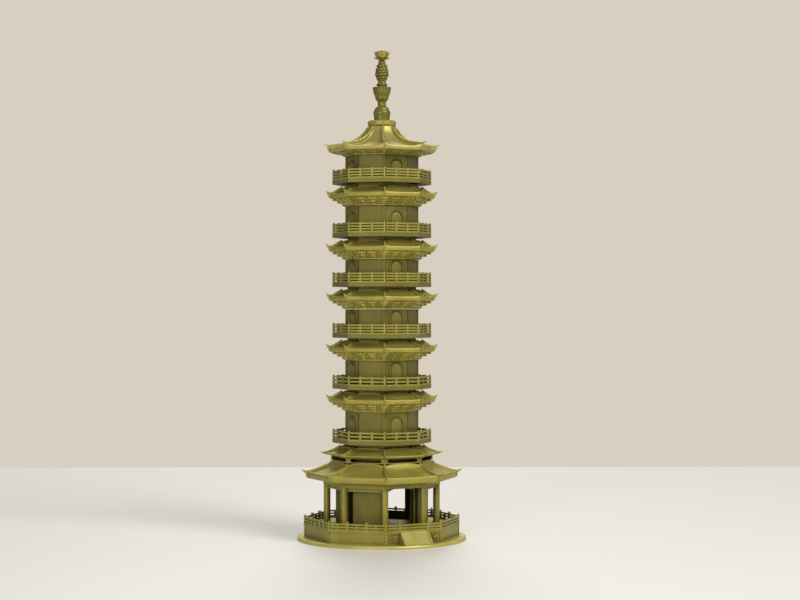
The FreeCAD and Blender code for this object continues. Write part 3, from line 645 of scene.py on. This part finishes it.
def build_finial():
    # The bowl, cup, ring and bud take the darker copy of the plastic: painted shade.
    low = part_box("finial_bowl")[0]
    bowl = bmesh.new()
    turned_piece(bowl, along(offsets([(4.9, 0), (4.8, 2.4), (5.2, 4.2), (5.2, 5.4), (4.5, 6.7),
                                      (4.0, 8.0), (2.7, 9.2), (2.55, 10.4), (2.6, 11.6)],
                                     low.z), 48))
    finished("bowl_turning", bowl, olive_shaded, "finial", "finial_bowl")

    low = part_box("finial_cup")[0]
    cup = bmesh.new()
    turned_piece(cup, along(offsets([(2.5, 0), (3.3, 1.3), (3.9, 2.6), (4.2, 4.0), (4.7, 6.0),
                                     (5.1, 8.3), (3.2, 8.9)], low.z), 20))
    for tier, (foot, belly, head, wide) in enumerate((((2.7, 0.1), (4.1, 1.9), (4.35, 4.3), 3.3),
                                                      ((4.1, 3.2), (5.1, 5.4), (5.75, 8.9), 4.3))):
        for petal in range(8):
            turn = petal * math.pi / 4 + tier * CORNER
            loops = []
            for step in range(11):
                share = step / 10
                radius, z = at([foot, belly, head], share)
                width = wide * (0.35 + 0.65 * math.sin(math.pi * min(0.5, share * 0.9)))
                loops.append([cup.verts.new((
                    (radius - 0.8 + 0.75 * math.cos(a)) * MM * math.cos(turn)
                    - width / 2 * MM * math.sin(a) * math.sin(turn),
                    (radius - 0.8 + 0.75 * math.cos(a)) * MM * math.sin(turn)
                    + width / 2 * MM * math.sin(a) * math.cos(turn), low.z + z * MM))
                    for a in [2 * math.pi * k / 14 for k in range(14)]])
            skin_rings(cup, loops)
    finished("lotus_cup", cup, olive_shaded, "finial", "finial_cup", sharp=60)

    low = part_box("finial_ring")[0]
    ring = bmesh.new()
    turned_piece(ring, along(offsets([(3.3, 0), (3.35, 0.35), (2.95, 0.7), (2.95, 1.0),
                                      (3.35, 1.35), (3.2, 2.1), (2.7, 2.6), (2.45, 3.1),
                                      (2.4, 3.7)], low.z), 40))
    finished("ring_turning", ring, olive_shaded, "finial", "finial_ring")

    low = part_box("finial_bud")[0]
    bud = bmesh.new()
    outline = along(offsets([(2.4, 0), (3.5, 1.8), (4.35, 3.8), (4.2, 5.6), (3.8, 7.9),
                             (3.1, 10.2), (1.7, 12.9)], low.z), 26)
    turned_piece(bud, [(radius - 0.75 * MM, z) for radius, z in outline], 24)
    tiers = 7
    scales = 9
    for tier in range(tiers):
        for scale in range(scales):
            turn = 2 * math.pi * (scale + 0.5 * (tier % 2)) / scales
            radius, z = outline[int((tier + 0.55) / tiers * 26)]
            girth = 2 * math.pi * radius / scales * 0.5
            lump = bmesh.ops.create_icosphere(bud, subdivisions=2, radius=1.0)["verts"]
            bmesh.ops.transform(bud, verts=lump, matrix=(
                Matrix.Rotation(turn, 4, "Z") @ Matrix.Translation((radius - 0.7 * MM, 0, z))
                @ Matrix.Diagonal((0.6 * MM, girth, 1.05 * MM, 1))))
    finished("openwork_bud", bud, olive_shaded, "finial", "finial_bud", sharp=60)

    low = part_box("finial_crown")[0]
    crown = bmesh.new()
    turned_piece(crown, along(offsets([(1.7, 0), (2.6, 0.9), (3.9, 1.7), (3.7, 2.8), (3.9, 4.0),
                                       (3.7, 4.9), (2.7, 5.8), (1.4, 6.5), (0.2, 7.2)],
                                      low.z), 30), 24)
    for petal in range(8):
        for foot, belly, tip, shift in (((2.2, 0.6), (4.0, 0.9), (5.05, 1.9), 0.0),
                                        ((3.2, 2.2), (4.1, 3.5), (4.8, 5.2), 0.5)):
            turn = (petal + shift) * math.pi / 4 + CORNER
            loops = []
            for step in range(9):
                share = step / 8
                radius, z = at([foot, belly, tip], share)
                width = 3.1 * (1 - share) ** 0.6 + 0.15
                thick = 0.55 * (1 - share) + 0.12
                loops.append([crown.verts.new((
                    (radius + thick * math.cos(a)) * MM * math.cos(turn)
                    - width / 2 * MM * math.sin(a) * math.sin(turn),
                    (radius + thick * math.cos(a)) * MM * math.sin(turn)
                    + width / 2 * MM * math.sin(a) * math.cos(turn), low.z + z * MM))
                    for a in [2 * math.pi * k / 12 for k in range(12)]])
            skin_rings(crown, loops)
    finished("lotus_crown", crown, finial_gold, "finial", "finial_crown")
    dress("finial_pin", olive, 0.1)


build_finial()


# ---- Table, lights and camera ----
# A pale table top with a straight far edge and a warm plain surround. One large soft key light
# stands front right, with a low front fill, a glow from behind and a long lens.
view_turn = math.radians(-25.5)
forward = Vector((-math.sin(view_turn), math.cos(view_turn), 0))
rightward = Vector((math.cos(view_turn), math.sin(view_turn), 0))


def build_table():
    far = 0.483
    near = -3.0
    half = 4.0
    top = bmesh.new()
    corners = [forward * near - rightward * half, forward * near + rightward * half,
               forward * far + rightward * half, forward * far - rightward * half]
    top.faces.new([top.verts.new(corner) for corner in corners])
    mesh = bpy.data.meshes.new("table_top")
    top.to_mesh(mesh)
    top.free()
    table = bpy.data.objects.new("table_top", mesh)
    bpy.context.scene.collection.objects.link(table)
    paint = bpy.data.materials.new("table_white")
    paint.use_nodes = True
    tree = paint.node_tree
    shader = tree.nodes["Principled BSDF"]
    shader.inputs["Roughness"].default_value = 0.55
    grain = tree.nodes.new("ShaderNodeTexNoise")
    grain.inputs["Scale"].default_value = 6.0
    tone = tree.nodes.new("ShaderNodeValToRGB")
    tone.color_ramp.elements[0].color = (0.80, 0.785, 0.745, 1)
    tone.color_ramp.elements[1].color = (0.82, 0.805, 0.765, 1)
    tree.links.new(grain.outputs["Fac"], tone.inputs["Fac"])
    tree.links.new(tone.outputs["Color"], shader.inputs["Base Color"])
    mesh.materials.append(paint)


build_table()


def soft_light(name, place, size, power, colour):
    lamp = bpy.data.lights.new(name, "AREA")
    lamp.shape = "DISK"
    lamp.size = size
    lamp.energy = power
    lamp.color = colour
    light = bpy.data.objects.new(name, lamp)
    light.location = place
    aim = Vector((0, 0, 0.14)) - place
    light.rotation_euler = aim.to_track_quat("-Z", "Y").to_euler()
    bpy.context.scene.collection.objects.link(light)


soft_light("key", rightward * 0.95 - forward * 0.9 + Vector((0, 0, 1.15)), 0.9, 19.0,
           (1.0, 0.97, 0.92))
soft_light("front_fill", -forward * 1.6 - rightward * 0.6 + Vector((0, 0, 0.45)), 0.8, 9.5,
           (1.0, 0.98, 0.95))
soft_light("far_glow", forward * 1.4 - rightward * 0.05 + Vector((0, 0, 1.3)), 1.2, 14.0,
           (1.0, 0.98, 0.95))

world = bpy.data.worlds.new("warm_surround")
world.use_nodes = True
bpy.context.scene.world = world
surround = world.node_tree
ambient = surround.nodes["Background"]
ambient.inputs["Color"].default_value = (1.0, 0.98, 0.94, 1)
ambient.inputs["Strength"].default_value = 0.30
wall = surround.nodes.new("ShaderNodeBackground")
wall.inputs["Color"].default_value = (0.686, 0.624, 0.527, 1)
seen = surround.nodes.new("ShaderNodeLightPath")
choice = surround.nodes.new("ShaderNodeMixShader")
surround.links.new(seen.outputs["Is Camera Ray"], choice.inputs["Fac"])
surround.links.new(ambient.outputs["Background"], choice.inputs[1])
surround.links.new(wall.outputs["Background"], choice.inputs[2])
surround.links.new(choice.outputs["Shader"], surround.nodes["World Output"].inputs["Surface"])
bpy.context.scene.view_settings.view_transform = "Standard"

distance = 1.094
eye = Vector((0, 0, 0.1428)) - forward * distance
aim_point = rightward * 0.0111 + Vector((0, 0, 0.146))
lens = bpy.data.cameras.new("camera")
lens.lens = 80.4
lens.sensor_width = 36.0
lens.clip_start = 0.05
camera = bpy.data.objects.new("camera", lens)
camera.location = eye
camera.rotation_euler = (aim_point - eye).to_track_quat("-Z", "Y").to_euler()
bpy.context.scene.collection.objects.link(camera)
bpy.context.scene.camera = camera
